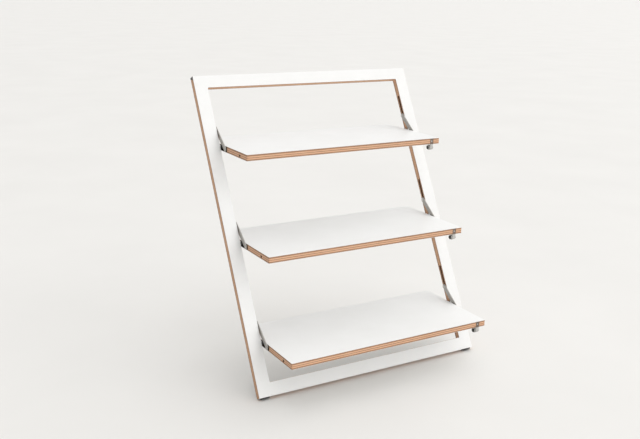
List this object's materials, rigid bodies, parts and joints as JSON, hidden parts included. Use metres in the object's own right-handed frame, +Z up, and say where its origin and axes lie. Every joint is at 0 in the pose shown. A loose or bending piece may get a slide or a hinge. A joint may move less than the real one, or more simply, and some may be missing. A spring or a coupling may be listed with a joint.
{
  "type": "plant ladder stand",
  "caption": "Leaning board frame with level shelves that pivot inside its opening and fold flat into it, held open by sliding steel stay arms.",
  "frame": {"origin": "on the floor, under the middle of the stand's box", "axes": "+X to the right seen from the front, +Y towards the wall it leans on, +Z up"},
  "size_m": [0.8, 0.597, 0.8986],
  "materials": {
    "frame_board": "white laminated birch plywood, bare edges",
    "shelf_board": "white laminated birch plywood, bare edges",
    "foot": "black",
    "wall_pad": "dark grey",
    "side_plate": "black",
    "pivot_pin": "plain steel",
    "pivot_bush": "black",
    "stay_arm": "brushed",
    "stay_foot_rivet": "plain steel",
    "stay_head_rivet": "plain steel",
    "slide_shoe": "black",
    "grip_strap": "brushed",
    "grip_barrel": "brushed",
    "grip_core": "black"
  },
  "bodies": {
    "frame": {"frame_board": "frame_board", "foot_left": "foot", "foot_right": "foot", "wall_pad_left": "wall_pad", "wall_pad_right": "wall_pad", "pivot_bush_lower_left": "pivot_bush", "pivot_bush_lower_right": "pivot_bush", "pivot_bush_middle_left": "pivot_bush", "pivot_bush_middle_right": "pivot_bush", "pivot_bush_upper_left": "pivot_bush", "pivot_bush_upper_right": "pivot_bush"},
    "shelf_lower": {"shelf_lower": "shelf_board", "grip_strap_lower": "grip_strap", "grip_barrel_lower": "grip_barrel", "grip_core_lower": "grip_core", "side_plate_lower_left": "side_plate", "pivot_pin_lower_left": "pivot_pin", "stay_foot_rivet_lower_left": "stay_foot_rivet", "side_plate_lower_right": "side_plate", "pivot_pin_lower_right": "pivot_pin", "stay_foot_rivet_lower_right": "stay_foot_rivet"},
    "stay_lower_left": {"stay_arm_lower_left": "stay_arm", "stay_head_rivet_lower_left": "stay_head_rivet"},
    "shoe_lower_left": {"slide_shoe_lower_left": "slide_shoe"},
    "stay_lower_right": {"stay_arm_lower_right": "stay_arm", "stay_head_rivet_lower_right": "stay_head_rivet"},
    "shoe_lower_right": {"slide_shoe_lower_right": "slide_shoe"},
    "shelf_middle": {"shelf_middle": "shelf_board", "grip_strap_middle": "grip_strap", "grip_barrel_middle": "grip_barrel", "grip_core_middle": "grip_core", "side_plate_middle_left": "side_plate", "pivot_pin_middle_left": "pivot_pin", "stay_foot_rivet_middle_left": "stay_foot_rivet", "side_plate_middle_right": "side_plate", "pivot_pin_middle_right": "pivot_pin", "stay_foot_rivet_middle_right": "stay_foot_rivet"},
    "stay_middle_left": {"stay_arm_middle_left": "stay_arm", "stay_head_rivet_middle_left": "stay_head_rivet"},
    "shoe_middle_left": {"slide_shoe_middle_left": "slide_shoe"},
    "stay_middle_right": {"stay_arm_middle_right": "stay_arm", "stay_head_rivet_middle_right": "stay_head_rivet"},
    "shoe_middle_right": {"slide_shoe_middle_right": "slide_shoe"},
    "shelf_upper": {"shelf_upper": "shelf_board", "grip_strap_upper": "grip_strap", "grip_barrel_upper": "grip_barrel", "grip_core_upper": "grip_core", "side_plate_upper_left": "side_plate", "pivot_pin_upper_left": "pivot_pin", "stay_foot_rivet_upper_left": "stay_foot_rivet", "side_plate_upper_right": "side_plate", "pivot_pin_upper_right": "pivot_pin", "stay_foot_rivet_upper_right": "stay_foot_rivet"},
    "stay_upper_left": {"stay_arm_upper_left": "stay_arm", "stay_head_rivet_upper_left": "stay_head_rivet"},
    "shoe_upper_left": {"slide_shoe_upper_left": "slide_shoe"},
    "stay_upper_right": {"stay_arm_upper_right": "stay_arm", "stay_head_rivet_upper_right": "stay_head_rivet"},
    "shoe_upper_right": {"slide_shoe_upper_right": "slide_shoe"}
  },
  "joints": [
    {"name": "lower_fold", "type": "hinge", "parent": "frame", "child": "shelf_lower", "pos_m": [0, -0.10952, 0.14575], "axis": [-1, 0, 0], "range_deg": [0, 118]},
    {"name": "lower_left_stay", "type": "hinge", "parent": "shelf_lower", "child": "stay_lower_left", "pos_m": [-0.35445, -0.14952, 0.14575], "axis": [-1, 0, 0], "range_deg": [-142.26, 0]},
    {"name": "lower_left_shoe", "type": "slide", "parent": "frame", "child": "shoe_lower_left", "axis": [0, 0.4695, 0.8829], "range_m": [0, 0.06639]},
    {"name": "lower_right_stay", "type": "hinge", "parent": "shelf_lower", "child": "stay_lower_right", "pos_m": [0.35445, -0.14952, 0.14575], "axis": [-1, 0, 0], "range_deg": [-142.26, 0]},
    {"name": "lower_right_shoe", "type": "slide", "parent": "frame", "child": "shoe_lower_right", "axis": [0, 0.4695, 0.8829], "range_m": [0, 0.06639]},
    {"name": "middle_fold", "type": "hinge", "parent": "frame", "child": "shelf_middle", "pos_m": [0, 0.03485, 0.41725], "axis": [-1, 0, 0], "range_deg": [0, 118]},
    {"name": "middle_left_stay", "type": "hinge", "parent": "shelf_middle", "child": "stay_middle_left", "pos_m": [-0.35445, -0.00515, 0.41725], "axis": [-1, 0, 0], "range_deg": [-142.26, 0]},
    {"name": "middle_left_shoe", "type": "slide", "parent": "frame", "child": "shoe_middle_left", "axis": [0, 0.4695, 0.8829], "range_m": [0, 0.06639]},
    {"name": "middle_right_stay", "type": "hinge", "parent": "shelf_middle", "child": "stay_middle_right", "pos_m": [0.35445, -0.00515, 0.41725], "axis": [-1, 0, 0], "range_deg": [-142.26, 0]},
    {"name": "middle_right_shoe", "type": "slide", "parent": "frame", "child": "shoe_middle_right", "axis": [0, 0.4695, 0.8829], "range_m": [0, 0.06639]},
    {"name": "upper_fold", "type": "hinge", "parent": "frame", "child": "shelf_upper", "pos_m": [0, 0.17921, 0.68876], "axis": [-1, 0, 0], "range_deg": [0, 118]},
    {"name": "upper_left_stay", "type": "hinge", "parent": "shelf_upper", "child": "stay_upper_left", "pos_m": [-0.35445, 0.13921, 0.68876], "axis": [-1, 0, 0], "range_deg": [-142.26, 0]},
    {"name": "upper_left_shoe", "type": "slide", "parent": "frame", "child": "shoe_upper_left", "axis": [0, 0.4695, 0.8829], "range_m": [0, 0.06639]},
    {"name": "upper_right_stay", "type": "hinge", "parent": "shelf_upper", "child": "stay_upper_right", "pos_m": [0.35445, 0.13921, 0.68876], "axis": [-1, 0, 0], "range_deg": [-142.26, 0]},
    {"name": "upper_right_shoe", "type": "slide", "parent": "frame", "child": "shoe_upper_right", "axis": [0, 0.4695, 0.8829], "range_m": [0, 0.06639]}
  ],
  "couplings": [
    {"joint": "lower_left_stay", "follows": "lower_fold", "ratio": -1.2055},
    {"joint": "lower_left_shoe", "follows": "lower_fold", "m_per_rad": 0.032224},
    {"joint": "lower_right_stay", "follows": "lower_fold", "ratio": -1.2055},
    {"joint": "lower_right_shoe", "follows": "lower_fold", "m_per_rad": 0.032224},
    {"joint": "middle_left_stay", "follows": "middle_fold", "ratio": -1.2055},
    {"joint": "middle_left_shoe", "follows": "middle_fold", "m_per_rad": 0.032224},
    {"joint": "middle_right_stay", "follows": "middle_fold", "ratio": -1.2055},
    {"joint": "middle_right_shoe", "follows": "middle_fold", "m_per_rad": 0.032224},
    {"joint": "upper_left_stay", "follows": "upper_fold", "ratio": -1.2055},
    {"joint": "upper_left_shoe", "follows": "upper_fold", "m_per_rad": 0.032224},
    {"joint": "upper_right_stay", "follows": "upper_fold", "ratio": -1.2055},
    {"joint": "upper_right_shoe", "follows": "upper_fold", "m_per_rad": 0.032224}
  ]
}
